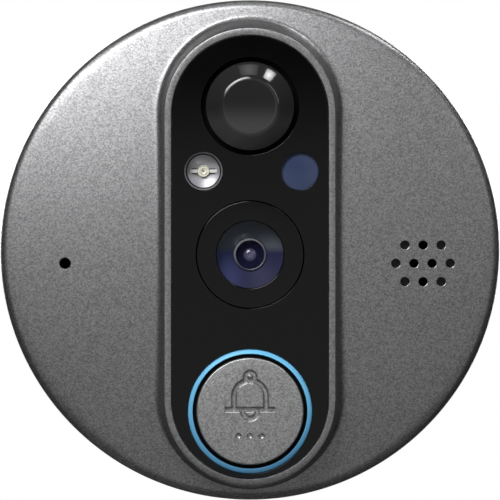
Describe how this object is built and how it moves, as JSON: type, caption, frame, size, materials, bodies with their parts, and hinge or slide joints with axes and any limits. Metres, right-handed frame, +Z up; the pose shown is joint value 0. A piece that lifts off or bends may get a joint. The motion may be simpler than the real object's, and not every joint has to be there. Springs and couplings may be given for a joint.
{
  "type": "peephole door camera",
  "caption": "Round domed door-viewer camera with a raised oblong panel: motion-sensor lens, infrared lamp, wide-angle camera and ring-lit call button, clamped through a door hole.",
  "frame": {"origin": "centre of the spigot, in the plane of the door's outer face, where the foam pad rests", "axes": "+Y into the door along the spigot, so the visitor looks along +Y at the front; +Z up; +X to the visitor's right"},
  "size_m": [0.065, 0.0324, 0.065],
  "materials": {
    "shell_paint": "satin",
    "panel_black": "gloss",
    "adhesive_foam": "matte",
    "pir_smoke": "gloss",
    "steel": "satin",
    "sensor_window": "gloss",
    "black_plastic": "satin",
    "shroud_black": "satin",
    "lamp_resin": "gloss",
    "leadframe": "satin",
    "filter_blue": "gloss",
    "white_package": "satin",
    "lens_glass": "gloss",
    "baffle_blue": "satin",
    "chip_black": "matte",
    "button_paint": "satin",
    "ring_blue": "gloss",
    "speaker_frame": "satin",
    "magnet": "satin",
    "cone_film": "matte",
    "black_rubber": "matte",
    "mesh_cloth": "matte",
    "brass": "satin",
    "board_green": "satin"
  },
  "bodies": {
    "housing": {"front_housing": "shell_paint", "front_panel": "panel_black", "panel_adhesive": "adhesive_foam", "pir_lens": "pir_smoke", "pir_can": "steel", "pir_window": "sensor_window", "pir_header": "steel", "pir_holder": "black_plastic", "infrared_lamp": "lamp_resin", "lamp_leadframe": "leadframe", "light_filter": "filter_blue", "light_pipe": "lamp_resin", "light_sensor": "white_package", "camera_shroud": "shroud_black", "front_glass": "lens_glass", "lens_baffle": "baffle_blue", "lens_barrel": "black_plastic", "inner_lens": "lens_glass", "lens_holder": "black_plastic", "ir_cut_filter": "sensor_window", "image_sensor": "chip_black", "button_bush": "black_plastic", "light_ring": "ring_blue", "ring_leds": "white_package", "switch_body": "black_plastic", "switch_cover": "steel", "speaker_frame": "speaker_frame", "speaker_magnet": "magnet", "speaker_cone": "cone_film", "speaker_gasket": "black_rubber", "speaker_mesh": "mesh_cloth", "speaker_contacts": "brass", "microphone": "steel", "microphone_boot": "black_rubber", "microphone_leads": "steel", "main_board": "board_green", "board_chips": "chip_black", "cable_socket": "white_package", "rear_seal": "black_rubber", "rear_cover": "black_plastic", "cover_screws": "steel", "clamp_sleeves": "brass", "door_pad": "black_rubber"},
    "call_button": {"call_button": "button_paint"},
    "switch_plunger": {"switch_plunger": "white_package"}
  },
  "joints": [
    {"name": "call_press", "type": "slide", "parent": "housing", "child": "call_button", "axis": [0, 1, 0], "range_m": [0, 0.0005], "stiffness_N_per_m": 1600, "springref_m": -0.0005},
    {"name": "switch_press", "type": "slide", "parent": "housing", "child": "switch_plunger", "axis": [0, 1, 0], "range_m": [0, 0.0005]}
  ],
  "couplings": [
    {"joint": "switch_press", "follows": "call_press", "ratio": 1}
  ]
}
